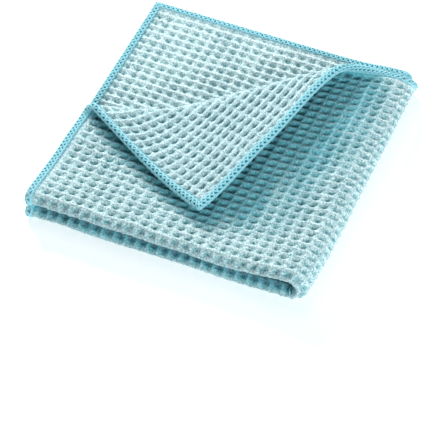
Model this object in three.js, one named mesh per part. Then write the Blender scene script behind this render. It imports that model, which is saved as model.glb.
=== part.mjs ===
// A square waffle-weave towel folded in quarters, lying flat, with the open corner of its top layer turned back.
// Millimetres, +Z up. X runs along the front edge to the right, Y to the back. The origin is at the bottom centre.
// The towel is one cut of cloth, so it is one solid: a thin sheet that is moved to its folded place.
import * as THREE from 'three';

// The cut of cloth.
const cutSide = 300;
const half = cutSide / 2;
const clothThick = 3.0;

// The edge that the sewing runs over: how thick the cloth is, so far in from the cut. The needle line draws it in.
const edgeProfile = [
  { fromCut: 0, thick: 1.6 },
  { fromCut: 1.0, thick: 2.8 },
  { fromCut: 3.7, thick: 2.3 },
  { fromCut: 5.4, thick: 3.0 },
];

// Space between the layers, and how much more of it the fold loops hold open. The front fold's loft is the same for
// the upper and the lower pair of layers at the right, and its own for each at the left.
const pairGap = 0.45;
const middleGap = 0.45;
const frontLoft = { right: 1.6, upperLeft: 3.0, lowerLeft: 0.2 };
const rightLoft = 1.0;
const rightLoftMiddle = 2.1;
const loftReach = 18;

// How far the folding is off true.
const topSetBack = 7.4;
const lowerForward = 0.5;
const lowerBack = 1.0;
const skew = 2.9;

// The turned-back corner: the line that it folds over runs from the left edge to the back edge.
const foldAtLeft = 104.3;
const foldAtBack = 153.8;
const flapShrink = 0.093;
// A row for each section along that line, from the left edge on. The lift starts at start (mm, towards the corner
// is positive), climbs to rise (degrees) over lead (mm), rolls over at radius roll, and comes down at fall (degrees).
const flapSections = [
  { start: 7.3, rise: 10.2, lead: 8.8, roll: 2.8, fall: 1.6 },
  { start: -5.5, rise: 6.9, lead: 3.0, roll: 4.5, fall: 2.8 },
  { start: -7.8, rise: 2.4, lead: 7.3, roll: 5.3, fall: 1.0 },
  { start: -8.0, rise: 2.1, lead: 13.7, roll: 5.1, fall: 2.2 },
  { start: -3.8, rise: 13.0, lead: 3.0, roll: 3.2, fall: 5.3 },
];

// How the sheet is split: a grid whose diagonals run along the turned-back fold, halved where the cloth bends.
const acrossSteps = 16;
const depthSteps = 24;
const bendTolerance = 0.17;
const splitRounds = 6;

const toRadians = Math.PI / 180;

// A smooth hump: 1 at the fold, with a level top, and gone beyond the reach.
function bell(distance) {
  const share = distance / loftReach;
  return Math.exp(-share * share);
}

// Distance between the middles of the two layers of a pair, so far from the right and from the front fold.
function pairPitch(isUpper, fromRight, fromFront) {
  const toLeft = Math.min(fromRight / half, 1);
  const left = isUpper ? frontLoft.upperLeft : frontLoft.lowerLeft;
  const front = THREE.MathUtils.lerp(frontLoft.right, left, toLeft) * bell(fromFront);
  return clothThick + pairGap + front + rightLoft * bell(fromRight);
}

// Distance between the middles of the two inner layers.
function middlePitch(fromRight) {
  return clothThick + middleGap + rightLoftMiddle * bell(fromRight);
}

// Height that the layers stack up to, between the middles of the lowest and the top one.
function stackHeight(fromRight, fromFront) {
  return pairPitch(true, fromRight, fromFront) + pairPitch(false, fromRight, fromFront) + middlePitch(fromRight);
}

// Length of cloth on one side of the right fold's crown, for the outer layer to lie at its true size.
function rightBend(fromFront) {
  return (Math.PI / 2) * (pairPitch(true, 0, fromFront) + middlePitch(0) / 2);
}

// A value of the flap's sections at a share of the fold line, on a smooth curve through the rows.
function sectionValue(name, share) {
  const last = flapSections.length - 1;
  const place = THREE.MathUtils.clamp(share, 0, 1) * last;
  const row = Math.min(Math.floor(place), last - 1);
  const part = place - row;
  const at = (i) => flapSections[i][name];
  const from = at(row);
  const to = at(row + 1);
  const slopeFrom = row === 0 ? to - from : (to - at(row - 1)) / 2;
  const slopeTo = row === last - 1 ? to - from : (at(row + 2) - from) / 2;
  const square = part * part;
  const cube = square * part;
  return (
    from * (2 * cube - 3 * square + 1) +
    slopeFrom * (cube - 2 * square + part) +
    to * (3 * square - 2 * cube) +
    slopeTo * (cube - square)
  );
}

// The end of a path that starts level and turns through arcs, each with a length and a curvature, then runs straight.
function walk(arcs, length) {
  let left = length;
  let angle = 0;
  let along = 0;
  let up = 0;
  for (const arc of arcs) {
    const step = Math.min(left, arc.length);
    const next = angle + step * arc.curvature;
    along += (Math.sin(next) - Math.sin(angle)) / arc.curvature;
    up += (Math.cos(angle) - Math.cos(next)) / arc.curvature;
    angle = next;
    left -= step;
  }
  return { along: along + left * Math.cos(angle), up: up + left * Math.sin(angle) };
}

// Moves a point of the top layer, x from its left edge and y from its back edge, over the turned-back corner.
function turnBack(x, y) {
  const lineLength = Math.hypot(foldAtBack, foldAtLeft);
  const line = new THREE.Vector2(foldAtBack, -foldAtLeft).divideScalar(lineLength);
  const toCorner = new THREE.Vector2(-foldAtLeft, -foldAtBack).divideScalar(lineLength);
  const fromLeftEnd = new THREE.Vector2(x, y - foldAtLeft);
  const along = fromLeftEnd.dot(line);
  const across = fromLeftEnd.dot(toCorner);
  const share = along / lineLength;
  const start = sectionValue('start', share);
  const cloth = across > 0 ? across * (1 - flapShrink) : across;
  const rise = sectionValue('rise', share) * toRadians;
  const fall = sectionValue('fall', share) * toRadians;
  const lead = sectionValue('lead', share);
  const roll = sectionValue('roll', share);
  const arcs = [
    { length: lead, curvature: rise / lead },
    { length: roll * (Math.PI + fall - rise), curvature: 1 / roll },
  ];
  const end = cloth > start ? walk(arcs, cloth - start) : { along: cloth - start, up: 0 };
  const moved = line.multiplyScalar(along).addScaledVector(toCorner, start + end.along);
  return { x: moved.x, y: foldAtLeft + moved.y, up: end.up };
}

// The middle of the cloth in its folded place, for a point of the flat cut. u runs across the cut and v down it, from
// the corner that ends up on top at the back left. The first fold is at v = half, the second at u = half.
function foldedMiddle(u, v) {
  const isUpper = u < half;
  const frontFrom = Math.max(0, Math.abs(half - u) - rightBend(0));
  const frontBend = (Math.PI / 4) * pairPitch(isUpper, frontFrom, 0);
  const fromFront = Math.max(0, Math.abs(half - v) - frontBend);
  const bend = rightBend(fromFront);
  const fromRight = Math.max(0, Math.abs(half - u) - bend);
  const pitch = pairPitch(isUpper, fromRight, fromFront);
  const lowerPitch = pairPitch(false, fromRight, fromFront);
  const radius = (stackHeight(fromRight, fromFront) + middlePitch(fromRight)) / 4;

  // First fold: y from the back edge to the front, and out from the middle of the doubled cloth.
  const frontTurn = THREE.MathUtils.clamp((v - half + frontBend) / (2 * frontBend), 0, 1) * Math.PI;
  let y = Math.min(v, cutSide - v, half - frontBend) + (pitch / 2) * Math.sin(frontTurn);
  let out = (pitch / 2) * Math.cos(frontTurn);

  // Second fold: the doubled cloth turns under at the right. Its upper half is turned back before that.
  const rightTurn = THREE.MathUtils.clamp((u - half + bend) / (2 * bend), 0, 1) * Math.PI;
  const onTop = (1 + Math.cos(rightTurn)) / 2;
  let x = Math.min(u, cutSide - u, half - bend);
  if (v < half) {
    y += topSetBack * (1 - v / half) * onTop;
  }
  if (v < half && rightTurn < Math.PI) {
    const turned = turnBack(u, y);
    const heightAt = (place) => {
      return stackHeight(Math.max(0, half - place.x - bend), Math.max(0, half - place.y - frontBend));
    };
    out += (turned.up + heightAt(turned) - heightAt({ x: u, y })) * onTop;
    x += (turned.x - u) * onTop;
    y = THREE.MathUtils.lerp(y, turned.y, onTop);
  }
  y += (lowerForward * (y / half) - lowerBack * (1 - y / half)) * (1 - onTop);
  const reach = radius + out;
  return new THREE.Vector3(
    x + reach * Math.sin(rightTurn) + skew * (1 - (2 * y) / half),
    -y,
    (clothThick + lowerPitch) / 2 + radius + reach * Math.cos(rightTurn),
  );
}

// Thickness of the cloth at a point of the flat cut.
function thicknessAt(u, v) {
  const fromCut = Math.min(u, v, cutSide - u, cutSide - v);
  const next = edgeProfile.findIndex((row) => row.fromCut > fromCut);
  if (next < 0) {
    return clothThick;
  }
  const from = edgeProfile[next - 1];
  const to = edgeProfile[next];
  return THREE.MathUtils.mapLinear(fromCut, from.fromCut, to.fromCut, from.thick, to.thick);
}

// The places along one side of the cut where the sheet is split at first.
function splitLines(steps) {
  const inner = edgeProfile.at(-1).fromCut;
  const edge = edgeProfile.slice(0, -1).map((row) => row.fromCut);
  const middle = Array.from({ length: steps + 1 }, (_, i) => inner + (i * (cutSide - 2 * inner)) / steps);
  return [...edge, ...middle, ...edge.map((place) => cutSide - place).reverse()];
}

// The flat cut as triangles over a grid of points.
function gridOfCut() {
  const across = splitLines(acrossSteps);
  const down = splitLines(depthSteps);
  const points = down.flatMap((v) => across.map((u) => [u, v]));
  const triangles = [];
  for (let row = 1; row < down.length; row += 1) {
    for (let column = 1; column < across.length; column += 1) {
      const here = row * across.length + column;
      const above = here - across.length;
      triangles.push([above - 1, here - 1, above], [here - 1, here, above]);
    }
  }
  return { points, triangles };
}

// One round of splitting: every side of a triangle is halved where the folded cloth bends away from it.
function splitWhereBent(points, triangles) {
  const middles = new Map();
  const middleOf = (a, b) => {
    const side = a < b ? `${a} ${b}` : `${b} ${a}`;
    if (!middles.has(side)) {
      const middle = [(points[a][0] + points[b][0]) / 2, (points[a][1] + points[b][1]) / 2];
      const straight = foldedMiddle(...points[a]).add(foldedMiddle(...points[b])).multiplyScalar(0.5);
      const isBent = foldedMiddle(...middle).distanceTo(straight) > bendTolerance;
      middles.set(side, isBent ? points.push(middle) - 1 : null);
    }
    return middles.get(side);
  };
  return triangles.flatMap(([a, b, c]) => {
    const ab = middleOf(a, b);
    const bc = middleOf(b, c);
    const ca = middleOf(c, a);
    if (ab !== null && bc !== null && ca !== null) {
      return [[ab, bc, ca], [a, ab, ca], [b, bc, ab], [c, ca, bc]];
    }
    const ring = [a, ab, b, bc, c, ca].filter((point) => point !== null);
    const first = ring.findIndex((point) => point === ab || point === bc || point === ca);
    const turned = first < 0 ? ring : [...ring.slice(first), ...ring.slice(0, first)];
    return turned.slice(2).map((point, i) => [turned[0], turned[i + 1], point]);
  });
}

// The whole towel: the flat cut's triangles for each face of the cloth, moved to the fold and closed along the cut.
function towelGeometry() {
  const { points, triangles: coarse } = gridOfCut();
  let triangles = coarse;
  for (let round = 0; round < splitRounds; round += 1) {
    triangles = splitWhereBent(points, triangles);
  }
  const small = 0.02;
  const places = points.flatMap(([u, v]) => {
    const alongU = foldedMiddle(u + small, v).sub(foldedMiddle(u - small, v));
    const alongV = foldedMiddle(u, v + small).sub(foldedMiddle(u, v - small));
    const reach = alongV.cross(alongU).setLength(thicknessAt(u, v) / 2);
    const middle = foldedMiddle(u, v);
    return [...middle.clone().add(reach).toArray(), ...middle.clone().sub(reach).toArray()];
  });

  // Point i has its outer place at 2i and its inner place at 2i + 1. A side of one triangle only is on the cut.
  const onCut = new Map();
  for (const [a, b, c] of triangles) {
    for (const [from, to] of [[a, b], [b, c], [c, a]]) {
      if (!onCut.delete(`${to} ${from}`)) {
        onCut.set(`${from} ${to}`, [2 * from, 2 * to]);
      }
    }
  }
  const faces = triangles.flatMap(([a, b, c]) => [2 * a, 2 * b, 2 * c, 2 * c + 1, 2 * b + 1, 2 * a + 1]);
  const rim = [...onCut.values()].flatMap(([a, b]) => [a, a + 1, b, b, a + 1, b + 1]);
  const geometry = new THREE.BufferGeometry();
  geometry.setAttribute('position', new THREE.Float32BufferAttribute(places, 3));
  geometry.setIndex([...faces, ...rim]);
  geometry.computeBoundingBox();
  const box = geometry.boundingBox;
  const centre = box.getCenter(new THREE.Vector3());
  geometry.translate(-centre.x, -centre.y, -box.min.z);
  geometry.computeVertexNormals();
  return geometry;
}

const waffleCloth = new THREE.MeshStandardMaterial({ color: 0xbfe6e6, roughness: 0.95, metalness: 0 });

const towel = new THREE.Mesh(towelGeometry(), waffleCloth);
towel.name = 'towel';

const group = new THREE.Group();
group.add(towel);

export default group;
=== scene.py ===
import math

import bpy
import numpy as np
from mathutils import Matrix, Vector
from mathutils.bvhtree import BVHTree


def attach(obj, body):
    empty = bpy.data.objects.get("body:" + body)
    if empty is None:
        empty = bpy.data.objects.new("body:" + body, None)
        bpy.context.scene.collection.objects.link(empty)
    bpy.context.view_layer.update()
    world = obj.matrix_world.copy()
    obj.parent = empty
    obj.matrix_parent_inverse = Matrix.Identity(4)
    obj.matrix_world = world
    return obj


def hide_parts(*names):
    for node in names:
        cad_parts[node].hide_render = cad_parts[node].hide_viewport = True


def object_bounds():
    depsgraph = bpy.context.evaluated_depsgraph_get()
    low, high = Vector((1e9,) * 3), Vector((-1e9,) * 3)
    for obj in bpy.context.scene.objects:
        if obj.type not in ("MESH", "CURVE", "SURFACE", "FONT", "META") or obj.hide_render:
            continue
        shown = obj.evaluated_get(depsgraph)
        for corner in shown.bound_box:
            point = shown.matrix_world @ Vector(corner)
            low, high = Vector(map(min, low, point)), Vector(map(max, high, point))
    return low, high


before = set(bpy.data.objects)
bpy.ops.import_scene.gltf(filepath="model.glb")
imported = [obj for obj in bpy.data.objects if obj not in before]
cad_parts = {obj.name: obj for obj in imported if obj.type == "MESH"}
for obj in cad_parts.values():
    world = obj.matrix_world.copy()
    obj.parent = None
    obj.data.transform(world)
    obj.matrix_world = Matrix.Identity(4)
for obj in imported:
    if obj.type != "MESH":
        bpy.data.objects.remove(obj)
cadLow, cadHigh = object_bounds()
mm = 0.001

# the cut of cloth, in millimetres: u runs across it and v down it, from the corner that is turned back
cloth = {
    "cut": 300.0,
    "thick": 3.0,
    "cellsAcross": 52,
    "cellsDown": 62,
}
half = cloth["cut"] / 2

# the edge is pressed thin by its sewing: how thick the cloth is, so far in from the cut
edgeProfile = {"fromCut": [0.0, 1.0, 3.7, 5.4], "thick": [1.6, 2.8, 2.3, 3.0]}

# how the layers lie
folding = {
    "pairGap": 0.45,
    "middleGap": 0.45,
    "frontLoft": 1.6,  # what the front fold holds open at its right end, and for each pair at its left
    "upperLoftAtLeft": 3.0,
    "lowerLoftAtLeft": 0.2,
    "rightLoft": 1.0,
    "rightLoftMiddle": 2.1,
    "loftReach": 18.0,
    "topSetBack": 7.4,
    "lowerForward": 0.5,
    "lowerBack": 1.0,
    "skew": 2.9,
}

# the turned-back corner: its fold line's two ends, and five sections along it from the left edge on
flap = {
    "atLeft": 104.3,
    "atBack": 153.8,
    "shrink": 0.093,
    "start": [7.3, -5.5, -7.8, -8.0, -3.8],  # how far past the line the cloth starts to climb
    "rise": [10.2, 6.9, 2.4, 2.1, 13.0],  # degrees that it climbs by, over a length of lead
    "lead": [8.8, 3.0, 7.3, 13.7, 3.0],
    "roll": [2.8, 4.5, 5.3, 5.1, 3.2],  # the radius that it then rolls over with
    "fall": [1.6, 2.8, 1.0, 2.2, 5.3],  # degrees that it slopes down by from there to the tip
}


def bell(distance):  # what is left of a fold's loft so far from it
    return np.exp(-((distance / folding["loftReach"]) ** 2))


def pairPitch(isUpper, fromRight, fromFront):  # between the middles of a pair's two layers
    toLeft = np.minimum(fromRight / half, 1)
    atLeft = np.where(isUpper, folding["upperLoftAtLeft"], folding["lowerLoftAtLeft"])
    front = (folding["frontLoft"] + (atLeft - folding["frontLoft"]) * toLeft) * bell(fromFront)
    return cloth["thick"] + folding["pairGap"] + front + folding["rightLoft"] * bell(fromRight)


def middlePitch(fromRight):  # between the nearest layers of the two pairs
    return cloth["thick"] + folding["middleGap"] + folding["rightLoftMiddle"] * bell(fromRight)


def layersHeight(fromRight, fromFront):
    pairs = pairPitch(True, fromRight, fromFront) + pairPitch(False, fromRight, fromFront)
    return pairs + middlePitch(fromRight)


def rightBend(fromFront):  # half the length of cloth that the right fold takes
    onFold = np.zeros_like(fromFront)
    return (math.pi / 2) * (pairPitch(True, onFold, fromFront) + middlePitch(onFold) / 2)


def sectionValue(name, share):  # a smooth curve through the corner's five sections
    rows = np.array(flap[name])
    last = len(rows) - 1
    place = np.clip(share, 0, 1) * last
    row = np.minimum(np.floor(place).astype(int), last - 1)
    part = place - row
    start, end = rows[row], rows[row + 1]
    slopeIn = np.where(row == 0, end - start, (end - rows[np.maximum(row - 1, 0)]) / 2)
    slopeOut = np.where(row == last - 1, end - start, (rows[np.minimum(row + 2, last)] - start) / 2)
    square, cube = part**2, part**3
    return (
        start * (2 * cube - 3 * square + 1)
        + slopeIn * (cube - 2 * square + part)
        + end * (3 * square - 2 * cube)
        + slopeOut * (cube - square)
    )


def turnBack(x, y):  # moves points of the top layer over the turned-back corner
    lineLength = math.hypot(flap["atBack"], flap["atLeft"])
    lineX, lineY = flap["atBack"] / lineLength, -flap["atLeft"] / lineLength
    cornerX, cornerY = -flap["atLeft"] / lineLength, -flap["atBack"] / lineLength
    along = lineX * x + lineY * (y - flap["atLeft"])
    across = cornerX * x + cornerY * (y - flap["atLeft"])
    share = along / lineLength

    # the section there: a slow climb over the lead, a half turn over the roll, and flat cloth beyond
    start, lead, roll = (sectionValue(name, share) for name in ("start", "lead", "roll"))
    rise, fall = (np.radians(sectionValue(name, share)) for name in ("rise", "fall"))
    length = np.where(across > 0, across * (1 - flap["shrink"]), across) - start
    inLead = np.clip(length, 0, lead)
    inRoll = np.clip(length - lead, 0, roll * (math.pi + fall - rise))
    beyond = np.maximum(length - inLead - inRoll, 0) * (length > 0)
    leadRadius = lead / rise
    leadTurn = inLead / leadRadius
    turn = leadTurn + inRoll / roll
    out = leadRadius * np.sin(leadTurn) + roll * (np.sin(turn) - np.sin(leadTurn)) + beyond * np.cos(turn)
    up = leadRadius * (1 - np.cos(leadTurn)) + roll * (np.cos(leadTurn) - np.cos(turn))
    up = up + beyond * np.sin(turn)
    out = start + out + np.minimum(length, 0)
    return lineX * along + cornerX * out, flap["atLeft"] + lineY * along + cornerY * out, up


def foldedMiddle(u, v):  # the middle of the cloth in its folded place
    u, v = np.broadcast_arrays(np.asarray(u, float), np.asarray(v, float))
    onFold = np.zeros_like(u)
    isUpper = u < half
    fromRightAtFront = np.maximum(0, np.abs(half - u) - rightBend(onFold))
    frontBend = (math.pi / 4) * pairPitch(isUpper, fromRightAtFront, onFold)
    fromFront = np.maximum(0, np.abs(half - v) - frontBend)
    bend = rightBend(fromFront)
    fromRight = np.maximum(0, np.abs(half - u) - bend)
    pitch = pairPitch(isUpper, fromRight, fromFront)
    lowerPitch = pairPitch(False, fromRight, fromFront)
    radius = (layersHeight(fromRight, fromFront) + middlePitch(fromRight)) / 4

    # the first fold, at the front: out is how far a layer lies from the middle of its pair
    frontTurn = np.clip((v - half + frontBend) / (2 * frontBend), 0, 1) * math.pi
    y = np.minimum(np.minimum(v, cloth["cut"] - v), half - frontBend) + (pitch / 2) * np.sin(frontTurn)
    out = (pitch / 2) * np.cos(frontTurn)

    # the second fold, at the right; the top layer's back edge is drawn in from those under it
    rightTurn = np.clip((u - half + bend) / (2 * bend), 0, 1) * math.pi
    onTop = (1 + np.cos(rightTurn)) / 2
    x = np.minimum(np.minimum(u, cloth["cut"] - u), half - bend)
    y = np.where(v < half, y + folding["topSetBack"] * (1 - v / half) * onTop, y)

    # the top layer's corner, turned back and laid on the height of the layers where it lands
    turnedX, turnedY, up = turnBack(u, y)
    landed = layersHeight(np.maximum(0, half - turnedX - bend), np.maximum(0, half - turnedY - frontBend))
    own = layersHeight(np.maximum(0, half - u - bend), np.maximum(0, half - y - frontBend))
    turns = (v < half) & (rightTurn < math.pi)
    out = np.where(turns, out + (up + landed - own) * onTop, out)
    x = np.where(turns, x + (turnedX - u) * onTop, x)
    y = np.where(turns, y + (turnedY - y) * onTop, y)

    # the lower pair stands out a little at the front and back, and the towel is a little out of square
    y = y + (folding["lowerForward"] * (y / half) - folding["lowerBack"] * (1 - y / half)) * (1 - onTop)
    reach = radius + out
    x = x + reach * np.sin(rightTurn) + folding["skew"] * (1 - 2 * y / half)
    z = cloth["thick"] / 2 + lowerPitch / 2 + radius + reach * np.cos(rightTurn)
    return np.stack([x, -y, z], axis=-1)


def faceNormal(u, v, step=0.02):
    alongU = foldedMiddle(u + step, v) - foldedMiddle(u - step, v)
    alongV = foldedMiddle(u, v + step) - foldedMiddle(u, v - step)
    normal = np.cross(alongV, alongU)
    return normal / np.linalg.norm(normal, axis=-1, keepdims=True)


def distanceFromCut(u, v):
    return np.minimum(np.minimum(u, v), np.minimum(cloth["cut"] - u, cloth["cut"] - v))


def thickAt(fromCut):
    return np.interp(fromCut, edgeProfile["fromCut"], edgeProfile["thick"])


def gridBetween(grid, i, j, fx, fy):  # a value between four neighbouring points of a grid
    low = grid[i, j] * (1 - fx) + grid[i + 1, j] * fx
    high = grid[i, j + 1] * (1 - fx) + grid[i + 1, j + 1] * fx
    return low * (1 - fy) + high * fy


def softNoise(u, v, size, seed):  # random heights over the cut, -1 to 1, smooth over about size
    rng = np.random.default_rng(seed)
    count = int(cloth["cut"] / size) + 3
    grid = rng.uniform(-1, 1, (count, count))
    x, y = np.clip(u, 0, cloth["cut"]) / size, np.clip(v, 0, cloth["cut"]) / size
    i, j = np.floor(x).astype(int), np.floor(y).astype(int)
    fx, fy = x - i, y - j
    return gridBetween(grid, i, j, fx * fx * (3 - 2 * fx), fy * fy * (3 - 2 * fy))


# the waffle weave: pits between raised threads, those of one face behind the crossings of the other
weave = {
    "pitDepth": 2.3,
    "warpRidge": 0.22,  # how deep the ridges down the cut lie under those across it, as a share of a pit
    "crossing": 0.12,  # how deep their crossings lie
    "roundOuter": 0.15,  # how far the ridges across the cut swell between crossings, on the outer face
    "roundInner": 0.7,  # and on the inner one
    "start": 4.3,  # the relief grows from here to full, measured in from the cut
    "full": 5.7,
    "wander": 0.6,  # how far the cells stray from their rows, in swells of wanderSize
    "wanderSize": 14.0,
    "wanderFull": 12.0,  # all of it from so far in
    "depthWander": 0.3,  # how unevenly deep the pits are, as a share
    "depthSize": 9.0,
    "pitShadowShift": 0.25,  # the painted shadow in a pit, moved by this share of a cell towards the front fold
    "pitShadowStart": 0.2,
    "pitShadowWidth": 0.3,
    "innerPitShadow": 0.6,  # how much of the inner face's painted pit shade lies in that painted shadow alone
    "gather": 0.0885,  # draws the points of the mesh towards the ridges and pits
}


def pitShare(u, v, face):  # 0 on a ridge and 1 in a pit
    across = 1 - np.abs(2 * np.mod(u * cloth["cellsAcross"] / cloth["cut"], 1) - 1)
    down = 1 - np.abs(2 * np.mod(v * cloth["cellsDown"] / cloth["cut"], 1) - 1)
    across, down = np.where(face > 0, across, 1 - across), np.where(face > 0, down, 1 - down)
    swell = np.where(face > 0, weave["roundOuter"], weave["roundInner"])
    ridged = np.minimum(across + (1 - across) * weave["warpRidge"], down ** (1 + swell * across))
    return ridged + weave["crossing"] * (1 - across) * (1 - down)


def paintedPitShadowShare(u, v, face):  # painted shadow: 1 in the part of a pit that gets the darkest painted shadow
    share = pitShare(u, v - weave["pitShadowShift"] * cloth["cut"] / cloth["cellsDown"], face)
    return np.clip((share - weave["pitShadowStart"]) / weave["pitShadowWidth"], 0, 1)


def grownShare(fromCut):  # how far the relief has grown, so far in from the cut
    return np.clip((fromCut - weave["start"]) / (weave["full"] - weave["start"]), 0, 1)


def gathered(place, cells):  # evenly spaced points drawn together at each half cell
    cell = cloth["cut"] / cells
    return place - weave["gather"] * cell * np.sin(4 * math.pi * place / cell)


def shiftToCad():  # from the middle of the folded cloth to the middle of the frame's box
    line = np.linspace(0, cloth["cut"], round(cloth["cut"]) + 1)
    u, v = np.meshgrid(line, line)
    reach = faceNormal(u, v) * (thickAt(distanceFromCut(u, v)) / 2)[..., None]
    middle = foldedMiddle(u, v)
    low = np.minimum(middle - reach, middle + reach).min(axis=(0, 1)) * mm
    high = np.maximum(middle - reach, middle + reach).max(axis=(0, 1)) * mm
    shiftX = (cadLow.x + cadHigh.x - low[0] - high[0]) / 2
    shiftY = (cadLow.y + cadHigh.y - low[1] - high[1]) / 2
    return np.array([shiftX, shiftY, 0])


toCad = shiftToCad()


def deselectAll():
    bpy.ops.object.select_all(action="DESELECT")


def finishPiece(piece, material):
    piece.data.materials.clear()
    piece.data.materials.append(material)
    for face in piece.data.polygons:
        face.use_smooth = True
    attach(piece, "root")


def addAttribute(mesh, name, values):
    mesh.attributes.new(name, "FLOAT", "POINT").data.foreach_set("value", np.asarray(values, np.float32))


# painted shade: how dark each place is painted, as it is hidden by the folded cloth from all round or
# from two lights, or turned away from the back
shadePainting = {
    "spacing": 3.0,
    "lift": 0.4,  # rays start so far off the cloth
    "rays": 30,
    "reach": 40.0,
    "allRound": 0.38,  # how much each of the three kinds counts
    "fromLight": 0.74,
    "turnedAway": 0.38,
    "lightRays": 30,
    "lightsFrom": ((-0.96, 0.12, 0.13), (-0.66, 0.70, 0.50)),  # low on the left, and the main light
    "lightSpread": 0.28,
    "lightReach": 75.0,
    "graze": 0.10,  # rays are bent up to leave the cloth at least so steeply
    "awayFrom": (0.10, 0.98, 0.15),
    "awayStart": -0.1,
    "awayFull": 0.6,
    "paintedFlapShade": 0.30,  # painted shade on the turned-back corner's inner face, for what its slope takes off its light
    "untouched": 0.2,  # up to this share the colour stays, and from whole on it is all the painted shade colour
    "whole": 0.98,
}


def spiral(count):  # places spread evenly over a disc
    index = np.arange(count) + 0.5
    turn = index * math.pi * (3 - math.sqrt(5))
    reach = np.sqrt(index / count)
    return np.stack([reach * np.cos(turn), reach * np.sin(turn)], axis=1)


def unit(ways):
    return ways / np.linalg.norm(ways, axis=-1, keepdims=True)


def areHidden(tree, starts, ways, reach):  # for each start, whether the cloth stops its ray
    return [tree.ray_cast(*cast, reach)[3] is not None for cast in zip(starts, ways.tolist())]


def hiddenAllRound(tree, starts, outward):
    aside = [0.31, 0.59, 0.74]  # a direction that no place faces
    first = unit(np.cross(outward, aside))
    second = np.cross(outward, first)
    hidden = np.zeros(len(outward))
    for ray in spiral(shadePainting["rays"]):
        ways = first * ray[0] + second * ray[1] + outward * math.sqrt(1 - ray @ ray)
        hidden += areHidden(tree, starts, ways, shadePainting["reach"])
    return hidden / shadePainting["rays"]


def hiddenFromLight(tree, starts, outward, lightFrom):
    light = unit(np.array(lightFrom))
    first = unit(np.cross(light, [0, 0, 1]))
    second = np.cross(light, first)
    hidden = np.zeros(len(outward))
    for ray in spiral(shadePainting["lightRays"]) * shadePainting["lightSpread"]:
        way = unit(light + first * ray[0] + second * ray[1])
        below = np.maximum(shadePainting["graze"] - outward @ way, 0)
        hidden += areHidden(tree, starts, unit(way + outward * below[:, None]), shadePainting["lightReach"])
    return hidden / shadePainting["lightRays"]


def paintedShadeGrid():  # painted shade, for the outer face and the inner one
    count = round(cloth["cut"] / shadePainting["spacing"]) + 1
    line = np.linspace(0, cloth["cut"], count)
    u, v = np.meshgrid(line, line, indexing="ij")
    middle, normal = foldedMiddle(u, v), faceNormal(u, v)
    corner = np.arange(count * count).reshape(count, count)
    quads = np.stack([corner[:-1, :-1], corner[1:, :-1], corner[1:, 1:], corner[:-1, 1:]], axis=-1)
    quads = quads.reshape(-1, 4)
    sides = [(middle + side * normal * cloth["thick"] / 2).reshape(-1, 3) for side in (1, -1)]
    bothQuads = np.concatenate([quads, quads + count * count])
    tree = BVHTree.FromPolygons(np.concatenate(sides).tolist(), bothQuads.tolist())
    grids = []
    for side, places in zip((1, -1), sides):
        outward = (side * normal).reshape(-1, 3)
        starts = (places + outward * shadePainting["lift"]).tolist()
        away = -outward @ unit(np.array(shadePainting["awayFrom"]))
        away = np.clip((away - shadePainting["awayStart"]) / (shadePainting["awayFull"] - shadePainting["awayStart"]), 0, 1)
        seen = 1 - shadePainting["turnedAway"] * away
        seen *= 1 - shadePainting["allRound"] * hiddenAllRound(tree, starts, outward)
        hidden = [hiddenFromLight(tree, starts, outward, light) for light in shadePainting["lightsFrom"]]
        seen *= 1 - shadePainting["fromLight"] * np.maximum(*hidden)
        grids.append((1 - seen).reshape(count, count))
    return grids


def gridValue(grid, u, v):  # from a grid that spans the cut
    count = len(grid) - 1
    x, y = (np.clip(place, 0, cloth["cut"]) / cloth["cut"] * count for place in (u, v))
    i, j = np.minimum(x.astype(int), count - 1), np.minimum(y.astype(int), count - 1)
    return gridBetween(grid, i, j, x - i, y - j)


# how much of the painted shade colour is mixed in for a hidden share
def paintedShadeFactor(share):
    return np.clip((share - shadePainting["untouched"]) / (shadePainting["whole"] - shadePainting["untouched"]), 0, 1)


# the painted shade of both faces
paintedShadeOuter, paintedShadeInner = paintedShadeGrid()
print("shelter worked out")


# materials
clothLook = {
    "ridge": (0.80, 0.925, 0.935, 1),
    # painted shade in the pits: the pit colour is much darker than the ridge colour
    "paintedPitShade": (0.145, 0.375, 0.40, 1),
    # painted shade colours, on the ridges and in the pits
    "paintedShadeRidge": (0.125, 0.70, 0.80, 1),
    "paintedShadePit": (0.0, 0.10, 0.15, 1),
    # painted shade under the sewing
    "edge": (0.03, 0.27, 0.35, 1),
    "roughness": 0.92,
    "specular": 0.1,
    "sheen": 0.15,
    "fuzzScale": 900.0,
    "fuzzDetail": 3.0,
    "fuzzShare": 2.2,  # how far the fuzz blurs the edges between ridge and pit
    "fuzzBump": 0.8,
    "fuzzHeight": 0.6,
    "speckleScale": 1300.0,
    "speckleDetail": 1.0,
    "speckleContrast": 5.0,
    "speckle": (0.56, 0.68, 0.70, 1),
}
threadLook = {
    "light": (0.50, 0.83, 0.89, 1),
    "dark": (0.12, 0.50, 0.60, 1),
    "roughness": 0.7,
    "sheen": 0.2,
    "fibreScale": 2600.0,
    "fibreDetail": 2.0,
    "fibreBump": 0.4,
    "fibreHeight": 0.15,
}


def newMaterial(name):
    material = bpy.data.materials.new(name)
    material.use_nodes = True
    nodes, links = material.node_tree.nodes, material.node_tree.links
    return material, nodes, links, nodes["Principled BSDF"]


def mixColour(nodes, links, factor, first, second, blend="MIX"):
    mix = nodes.new("ShaderNodeMix")
    mix.data_type = "RGBA"
    mix.blend_type = blend
    links.new(factor, mix.inputs["Factor"])
    for socket, value in ((mix.inputs["A"], first), (mix.inputs["B"], second)):
        if isinstance(value, tuple):
            socket.default_value = value
        else:
            links.new(value, socket)
    return mix.outputs["Result"]


def attributeValue(nodes, name):
    attribute = nodes.new("ShaderNodeAttribute")
    attribute.attribute_name = name
    return attribute.outputs["Fac"]


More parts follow.
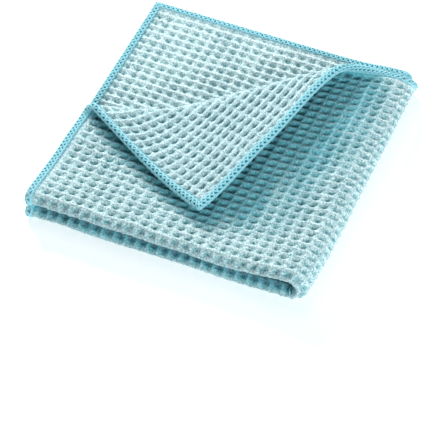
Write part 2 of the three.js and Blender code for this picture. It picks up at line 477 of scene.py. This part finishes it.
def noiseValue(nodes, links, scale, detail):
    place = nodes.new("ShaderNodeTexCoord")
    noise = nodes.new("ShaderNodeTexNoise")
    noise.inputs["Scale"].default_value = scale
    noise.inputs["Detail"].default_value = detail
    links.new(place.outputs["Object"], noise.inputs["Vector"])
    return noise.outputs["Fac"]


def mathValue(nodes, links, operation, values, clamp=True):  # of numbers and other nodes' values
    node = nodes.new("ShaderNodeMath")
    node.operation = operation
    node.use_clamp = clamp
    for socket, value in zip(node.inputs, values):
        if isinstance(value, float):
            socket.default_value = value
        else:
            links.new(value, socket)
    return node.outputs["Value"]


def addBump(nodes, links, shader, height, strength, distance):
    bump = nodes.new("ShaderNodeBump")
    bump.inputs["Strength"].default_value = strength
    bump.inputs["Distance"].default_value = distance
    links.new(height, bump.inputs["Height"])
    links.new(bump.outputs["Normal"], shader.inputs["Normal"])


def makeClothMaterial():
    material, nodes, links, shader = newMaterial("waffleCloth")
    fuzz = noiseValue(nodes, links, clothLook["fuzzScale"], clothLook["fuzzDetail"])
    fuzzShare = clothLook["fuzzShare"]
    paintedPitShade, paintedPitShadow = attributeValue(nodes, "paintedPitShade"), attributeValue(nodes, "paintedPitShadow")
    # painted shade in the pits, its edge blurred by the fuzz
    depth = mathValue(nodes, links, "MULTIPLY_ADD", (fuzz, fuzzShare, paintedPitShade), clamp=False)
    depth = mathValue(nodes, links, "SUBTRACT", (depth, fuzzShare / 2))
    body = mixColour(nodes, links, depth, clothLook["ridge"], clothLook["paintedPitShade"])
    # painted shade where the cloth is hidden from the lights or turned away, darkest in the painted
    # shadow of each pit
    paintedShadeColour = mixColour(nodes, links, paintedPitShadow, clothLook["paintedShadeRidge"], clothLook["paintedShadePit"])
    shaded = mixColour(nodes, links, attributeValue(nodes, "paintedShade"), body, paintedShadeColour)
    # painted shade under the sewing and in its gaps
    colour = mixColour(nodes, links, attributeValue(nodes, "edge"), shaded, clothLook["edge"])

    # small dark specks, steepened about the noise's middle
    specks = noiseValue(nodes, links, clothLook["speckleScale"], clothLook["speckleDetail"])
    contrast = clothLook["speckleContrast"]
    specks = mathValue(nodes, links, "MULTIPLY_ADD", (specks, contrast, 0.5 - contrast / 2))
    colour = mixColour(nodes, links, specks, colour, clothLook["speckle"], blend="MULTIPLY")
    links.new(colour, shader.inputs["Base Color"])
    shader.inputs["Roughness"].default_value = clothLook["roughness"]
    shader.inputs["Sheen Weight"].default_value = clothLook["sheen"]
    shader.inputs["Specular IOR Level"].default_value = clothLook["specular"]
    addBump(nodes, links, shader, fuzz, clothLook["fuzzBump"], clothLook["fuzzHeight"] * mm)
    return material


def makeThreadMaterial():
    material, nodes, links, shader = newMaterial("edgingThread")
    fibre = noiseValue(nodes, links, threadLook["fibreScale"], threadLook["fibreDetail"])
    colour = mixColour(nodes, links, fibre, threadLook["dark"], threadLook["light"])
    links.new(colour, shader.inputs["Base Color"])
    shader.inputs["Roughness"].default_value = threadLook["roughness"]
    shader.inputs["Sheen Weight"].default_value = threadLook["sheen"]
    addBump(nodes, links, shader, fibre, threadLook["fibreBump"], threadLook["fibreHeight"] * mm)
    return material


clothMaterial = makeClothMaterial()
threadMaterial = makeThreadMaterial()
print("materials ready")


# the overlock sewing along the cut
edging = {
    "stitch": 5.3,
    "pointsAStitch": 12,
    "inner": 3.15,  # how far in from the cut the loopers swing
    "outer": 0.5,
    "looperRadius": 0.46,
    "looperLift": 0.2,  # off the cloth, as a share of the thread's radius
    "crossing": 0.12,  # and how far the two pass over and under each other
    "lean": 0.1,  # along the cut, as a share of a stitch
    "needle": 3.5,
    "needleRadius": 0.24,
    "needleHeight": 1.2,  # over the middle of the cloth
    "needleWave": 0.22,
    "rim": 0.2,
    "rimRadius": 0.5,
    "rimHeight": 0.55,
    "rimWave": 0.12,
    "darkTo": 4.6,  # painted shade: the cloth is painted dark under the sewing, so far in, and from dashesFrom on in dashes
    "darkFade": 0.5,
    "dashesFrom": 3.7,
    "dashDepth": 0.3,
    "foldReach": 9.0,  # round the folds the loops open, and the painted shade on the cloth under them is lighter
    "foldLight": 0.6,
}


def sewingShadeAt(u, v):  # how dark the painted shade of the sewing makes the cloth there
    fromCut = distanceFromCut(u, v)
    dark = np.clip((edging["darkTo"] - fromCut) / edging["darkFade"], 0, 1)
    dashes = 1 - edging["dashDepth"] * (1 - np.sin(4 * math.pi * (u + v) / edging["stitch"]))
    fromFold = np.minimum(np.abs(u - half), np.abs(v - half))
    atFold = np.exp(-((fromFold / edging["foldReach"]) ** 2))
    return dark * np.where(fromCut > edging["dashesFrom"], dashes, 1) * (1 - edging["foldLight"] * atFold)


# the towel: a flat grid, given a wall, split finer where it shows and moved to its place in the fold
shown = {
    "top": (172, 160),  # outer face, from the corner that is turned back
    "frontRoll": (138, 162),
    "undersideFrom": 172,
    "turnedBack": 1.2,  # inner face, as a share of the turned-back corner
}
flatGrid = {"size": 2.0, "wall": 0.1}  # in units of its own, as its points are all moved later


def cutPlaces(flat):  # places on the cut for points of the flat grid
    across, down = flat[:, 0] / flatGrid["size"] + 0.5, 0.5 - flat[:, 1] / flatGrid["size"]
    return across * cloth["cut"], down * cloth["cut"]


def selectShown(mesh, wanted):  # the faces of the flat grid whose places are wanted
    centres, normals = np.empty(len(mesh.polygons) * 3), np.empty(len(mesh.polygons) * 3)
    mesh.polygons.foreach_get("center", centres)
    mesh.polygons.foreach_get("normal", normals)
    u, v = cutPlaces(centres.reshape(-1, 3))
    side = np.round(normals.reshape(-1, 3)[:, 2])
    mesh.vertices.foreach_set("select", np.zeros(len(mesh.vertices), bool))
    mesh.edges.foreach_set("select", np.zeros(len(mesh.edges), bool))
    mesh.polygons.foreach_set("select", wanted(u, v, side))


def splitShown(mesh, wanted, cuts):
    bpy.context.tool_settings.mesh_select_mode = (False, False, True)
    selectShown(mesh, wanted)
    bpy.ops.object.mode_set(mode="EDIT")
    bpy.ops.mesh.subdivide(number_cuts=cuts)
    bpy.ops.object.mode_set(mode="OBJECT")


def showsBest(u, v, side):
    onTop = (u < shown["top"][0]) & (v < shown["top"][1])
    onRoll = (v > shown["frontRoll"][0]) & (v < shown["frontRoll"][1])
    fromBack = np.minimum(v, cloth["cut"] - v)
    turned = u / flap["atBack"] + fromBack / flap["atLeft"] < shown["turnedBack"]
    return ((side > 0) & (onTop | onRoll)) | ((side < 0) & turned)


def showsBelow(u, v, side):  # the towel's underside, which is seen only from below
    return (side > 0) & (u > shown["undersideFrom"]) & (v < shown["frontRoll"][0])


def makeFlatTowel():
    deselectAll()
    bpy.ops.mesh.primitive_grid_add(
        x_subdivisions=2 * cloth["cellsAcross"],
        y_subdivisions=2 * cloth["cellsDown"],
        size=flatGrid["size"],
    )
    towel = bpy.context.object
    towel.name = towel.data.name = "towelCloth"
    wall = towel.modifiers.new("wall", "SOLIDIFY")
    wall.thickness = flatGrid["wall"]
    wall.offset = 0
    bpy.ops.object.modifier_apply(modifier=wall.name)
    splitShown(towel.data, showsBest, cuts=2)
    splitShown(towel.data, showsBelow, cuts=1)
    return towel


def facePlaces(u, v, face):  # where the folded cloth's points lie, with the weave's relief
    fromCut = distanceFromCut(u, v)
    deeper = 1 + weave["depthWander"] * softNoise(u, v, weave["depthSize"], seed=3)
    depth = weave["pitDepth"] * deeper * grownShare(fromCut) * pitShare(u, v, face)
    wander = weave["wander"] * np.clip(fromCut / weave["wanderFull"], 0, 1)
    atU = u + wander * softNoise(u, v, weave["wanderSize"], seed=1)
    atV = v + wander * softNoise(u, v, weave["wanderSize"], seed=2)
    height = face * (thickAt(fromCut) / 2 - depth)
    return foldedMiddle(atU, atV) + faceNormal(atU, atV) * height[:, None]


def addClothAttributes(mesh, u, v, face):  # what the cloth's material reads
    grown = grownShare(distanceFromCut(u, v))
    # painted shade in the pits; on the inner face it lies mostly in the painted shadow part
    paintedPitShade, paintedPitShadow = pitShare(u, v, face), paintedPitShadowShare(u, v, face)
    innerPaintedPitShade = paintedPitShade * (1 - weave["innerPitShadow"] * (1 - paintedPitShadow))
    addAttribute(mesh, "paintedPitShade", np.where(face > 0, paintedPitShade, innerPaintedPitShade) * grown)
    addAttribute(mesh, "paintedPitShadow", paintedPitShadow * grown)
    addAttribute(mesh, "edge", sewingShadeAt(u, v))
    # painted shade: the turned-back corner's inner face is painted darker for its slope
    turned = 1 - u / flap["atBack"] - v / flap["atLeft"] > 0
    inner = gridValue(paintedShadeInner, u, v) + shadePainting["paintedFlapShade"] * turned
    paintedShade = np.where(face > 0, gridValue(paintedShadeOuter, u, v), inner)
    addAttribute(mesh, "paintedShade", paintedShadeFactor(paintedShade))


def makeTowel():
    towel = makeFlatTowel()
    mesh = towel.data
    flat = np.empty(len(mesh.vertices) * 3)
    mesh.vertices.foreach_get("co", flat)
    flat = flat.reshape(-1, 3)
    face = np.sign(flat[:, 2])
    flatU, flatV = cutPlaces(flat)
    u, v = gathered(flatU, cloth["cellsAcross"]), gathered(flatV, cloth["cellsDown"])
    mesh.vertices.foreach_set("co", (facePlaces(u, v, face) * mm + toCad).ravel())
    addClothAttributes(mesh, u, v, face)

    # the UV map is the flat cut
    corners = np.empty(len(mesh.loops), int)
    mesh.loops.foreach_get("vertex_index", corners)
    flatPlace = np.stack([u[corners], cloth["cut"] - v[corners]], axis=1) / cloth["cut"]
    mesh.uv_layers[0].data.foreach_set("uv", flatPlace.ravel())
    mesh.update()

    finishPiece(towel, clothMaterial)
    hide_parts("towel")
    return towel


towel = makeTowel()
towel.data.calc_loop_triangles()
print("towel cloth:", len(towel.data.loop_triangles), "triangles")


# the sewing's threads: they follow the cut all round, made as curves and turned into meshes
stitches = round(4 * cloth["cut"] / edging["stitch"])
threadPoints = stitches * edging["pointsAStitch"]
roundCut = np.arange(threadPoints) / threadPoints  # how far round the cut each point of a thread is
stitchTurn = 2 * math.pi * roundCut * stitches


def placeOnEdge(along, inFrom, height):  # along the cut, in from it, and height over the cloth's middle
    side = np.mod(np.floor(along / cloth["cut"]).astype(int), 4)
    run = np.clip(np.mod(along, cloth["cut"]), inFrom, cloth["cut"] - inFrom)
    u = np.choose(side, [run, cloth["cut"] - inFrom, cloth["cut"] - run, inFrom])
    v = np.choose(side, [inFrom, run, cloth["cut"] - inFrom, cloth["cut"] - run])
    return foldedMiddle(u, v) + faceNormal(u, v) * height[:, None]


def makeThread(name, points, radius):
    curve = bpy.data.curves.new(name, "CURVE")
    curve.dimensions = "3D"
    curve.bevel_depth = radius * mm
    curve.bevel_resolution = 1
    spline = curve.splines.new("POLY")
    spline.points.add(len(points) - 1)
    points[:, 2] = np.maximum(points[:, 2], radius)  # the floor presses the lowest edge's sewing up
    flatPoints = np.concatenate([points * mm + toCad, np.ones((len(points), 1))], axis=1)
    spline.points.foreach_set("co", flatPoints.ravel())
    spline.use_cyclic_u = True
    thread = bpy.data.objects.new(name, curve)
    bpy.context.collection.objects.link(thread)
    deselectAll()
    thread.select_set(True)
    bpy.context.view_layer.objects.active = thread
    bpy.ops.object.convert(target="MESH")
    return bpy.context.object


def joinThreads(threads, name):
    deselectAll()
    for thread in threads:
        thread.select_set(True)
    bpy.context.view_layer.objects.active = threads[0]
    bpy.ops.object.join()
    joined = bpy.context.object
    joined.name = joined.data.name = name
    finishPiece(joined, threadMaterial)
    return joined


def makeLoopers(face, name):  # two threads that swing in and out along the edge, crossing in a lattice
    centre, swing = (edging["inner"] + edging["outer"]) / 2, (edging["inner"] - edging["outer"]) / 2
    threads = []
    for lag in (0, math.pi):
        turn = stitchTurn + lag
        inFrom = centre + swing * np.cos(turn)
        lift = thickAt(inFrom) / 2 + edging["looperRadius"] * edging["looperLift"]
        height = face * (lift + edging["crossing"] * np.sin(turn))
        along = roundCut * 4 * cloth["cut"] + edging["lean"] * edging["stitch"] * np.sin(turn)
        points = placeOnEdge(along, inFrom, height)
        threads.append(makeThread(f"{name}{len(threads)}", points, edging["looperRadius"]))
    return joinThreads(threads, name)


def makeRimAndNeedle():
    along = roundCut * 4 * cloth["cut"]
    threads = []
    for face in (1, -1):
        inFrom = edging["rim"] + edging["rimWave"] * np.cos(2 * stitchTurn)
        height = face * (edging["rimHeight"] + edging["rimWave"] * np.sin(2 * stitchTurn))
        rim = placeOnEdge(along, inFrom, height)
        threads.append(makeThread(f"rimThread{face + 1}", rim, edging["rimRadius"]))
        inFrom = np.full(threadPoints, edging["needle"])
        height = face * (edging["needleHeight"] + edging["needleWave"] * np.cos(2 * stitchTurn))
        needle = placeOnEdge(along, inFrom, height)
        threads.append(makeThread(f"needleThread{face + 1}", needle, edging["needleRadius"]))
    return joinThreads(threads, "edgingRim")


upperLoopers = makeLoopers(1, "edgingOver")
lowerLoopers = makeLoopers(-1, "edgingUnder")
rimAndNeedle = makeRimAndNeedle()


# floor, light and camera
studio = {
    "floorSize": 6.0,
    "floorDrop": 0.0002,  # keeps it clear of the towel's underside
    "floorColour": (0.92, 0.92, 0.92, 1),
    "floorRoughness": 0.9,
    "floorGlow": 0.35,
    "sky": 0.24,
    "skyColour": (0.82, 0.96, 1.0, 1),
    "keyPlace": (-0.80, 0.86, 0.66),
    "keySize": 0.35,
    "keyPower": 24.5,
    "keyColour": (1.0, 0.985, 0.98),
    "fillPlace": (1.0, -0.64, 0.48),
    "fillSize": 0.6,
    "fillPower": 12.5,
    "fillColour": (0.90, 0.97, 1.0),
    "topPlace": (-0.25, 0.30, 1.15),
    "topSize": 0.8,
    "topPower": 3.2,
    "topColour": (0.95, 0.99, 1.0),
}

# the view: from the towel's front right, down on the middle of its upper face
camera = {
    "lens": 150.13,
    "nearest": 0.01,
    "azimuth": 22.13,
    "elevation": 52.75,
    "distance": 0.9161,
    "right": -0.0096,
    "up": -0.042,
}


def makeFloor():
    deselectAll()
    bpy.ops.mesh.primitive_plane_add(size=studio["floorSize"], location=(0, 0, -studio["floorDrop"]))
    floor = bpy.context.object
    floor.name = "floor"
    material, _, _, shader = newMaterial("floor")
    shader.inputs["Base Color"].default_value = studio["floorColour"]
    shader.inputs["Roughness"].default_value = studio["floorRoughness"]
    shader.inputs["Emission Color"].default_value = (1, 1, 1, 1)
    shader.inputs["Emission Strength"].default_value = studio["floorGlow"]
    floor.data.materials.append(material)


def makeLight(name, place, size, power, colour):
    light = bpy.data.lights.new(name, "AREA")
    light.color = colour
    light.shape = "DISK"
    light.size = size
    light.energy = power
    lamp = bpy.data.objects.new(name, light)
    lamp.location = place
    lamp.rotation_euler = (-Vector(place)).to_track_quat("-Z", "Y").to_euler()
    bpy.context.collection.objects.link(lamp)


def makeWorld():
    world = bpy.data.worlds.new("studio")
    bpy.context.scene.world = world
    world.use_nodes = True
    sky = world.node_tree.nodes["Background"]
    sky.inputs["Color"].default_value = studio["skyColour"]
    sky.inputs["Strength"].default_value = studio["sky"]


def makeCamera():
    faceHeight = cloth["thick"] + layersHeight(half, half)
    centre = Vector(np.array([half / 2, -half / 2, faceHeight]) * mm + toCad)
    azimuth, elevation = math.radians(camera["azimuth"]), math.radians(camera["elevation"])
    level = math.cos(elevation)
    ahead = Vector((-math.sin(azimuth) * level, math.cos(azimuth) * level, -math.sin(elevation)))
    right = ahead.cross(Vector((0, 0, 1))).normalized()
    up = right.cross(ahead)
    data = bpy.data.cameras.new("camera")
    data.lens = camera["lens"]
    data.clip_start = camera["nearest"]
    eye = bpy.data.objects.new("camera", data)
    eye.location = centre - ahead * camera["distance"] + right * camera["right"] + up * camera["up"]
    eye.rotation_euler = ahead.to_track_quat("-Z", "Y").to_euler()
    bpy.context.collection.objects.link(eye)
    bpy.context.scene.camera = eye


makeFloor()
for name in ("key", "fill", "top"):
    makeLight(name, *(studio[name + value] for value in ("Place", "Size", "Power", "Colour")))
makeWorld()
makeCamera()
print("studio ready")

bpy.context.scene.view_settings.view_transform = "Standard"
